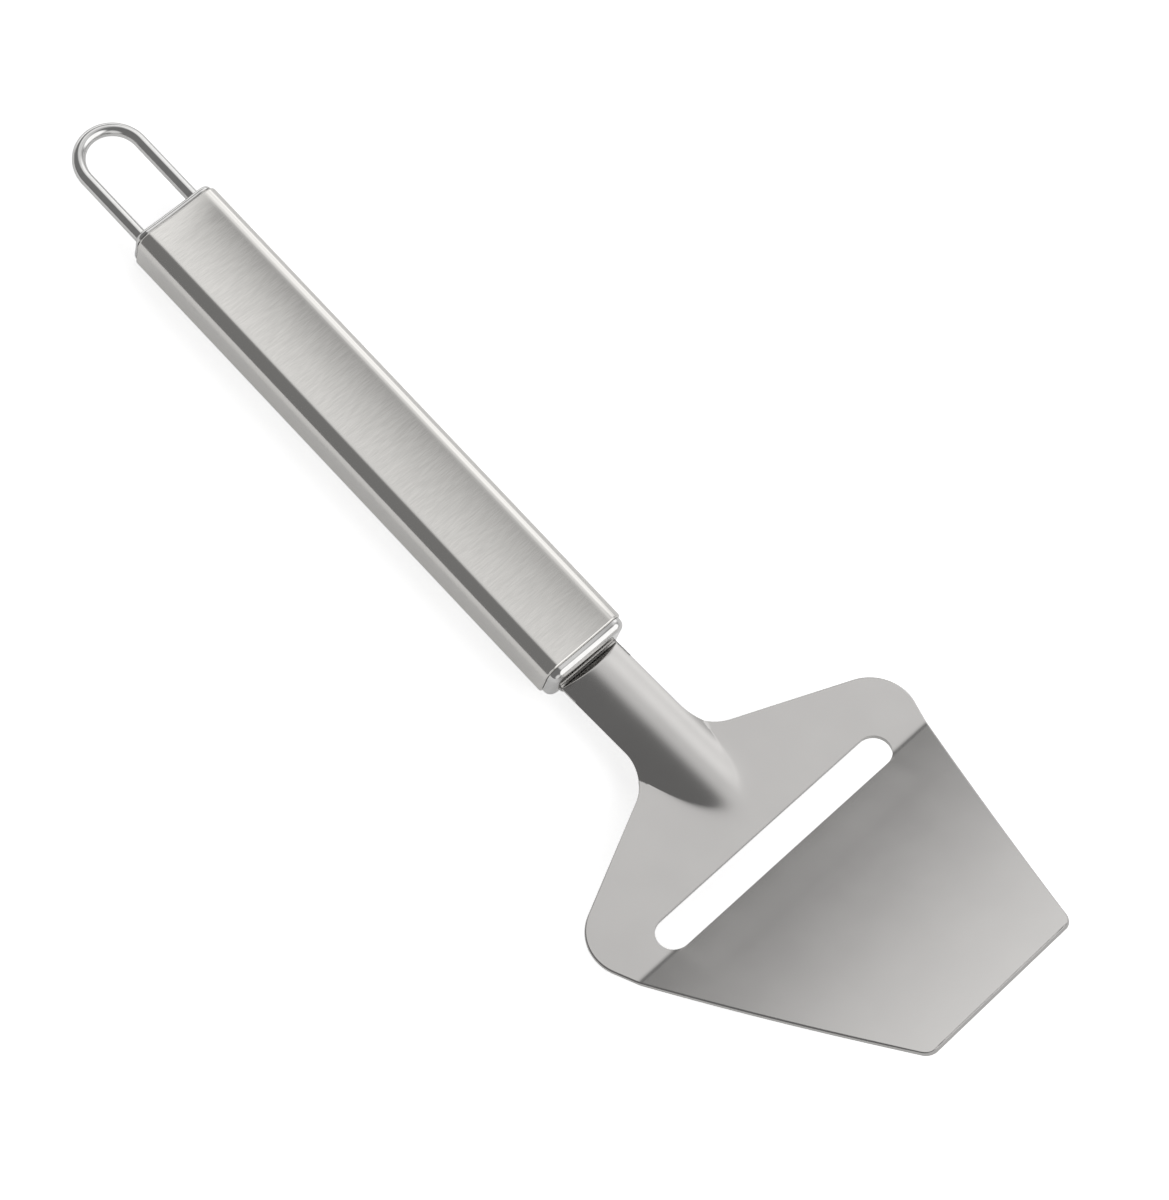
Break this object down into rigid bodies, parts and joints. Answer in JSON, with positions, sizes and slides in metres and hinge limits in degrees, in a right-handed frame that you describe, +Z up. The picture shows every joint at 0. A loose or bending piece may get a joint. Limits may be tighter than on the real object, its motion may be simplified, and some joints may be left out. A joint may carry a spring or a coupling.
{
  "type": "cheese slicer",
  "caption": "All-steel cheese slicer: hollow brushed handle with bright end caps, a wire hanging loop, and a bent satin blade with an arched neck and a slicing slot.",
  "frame": {"origin": "middle of the bounding box on the surface that the handle's flat underside lies on", "axes": "+X along the handle towards the blade's tip, +Y across the blade, +Z up, out of the side that faces the user"},
  "size_m": [0.244, 0.0824, 0.0448],
  "materials": {
    "handle_steel": "brushed across the handle",
    "cap_steel": "polished",
    "loop_steel": "polished",
    "blade_steel": "fine satin",
    "weld_steel": "as welded"
  },
  "bodies": {
    "root": {"handle_tube": "handle_steel", "front_cap": "cap_steel", "rear_cap": "cap_steel", "hanging_loop": "loop_steel", "blade": "blade_steel", "tang_welds": "weld_steel", "loop_welds": "weld_steel"}
  },
  "joints": []
}
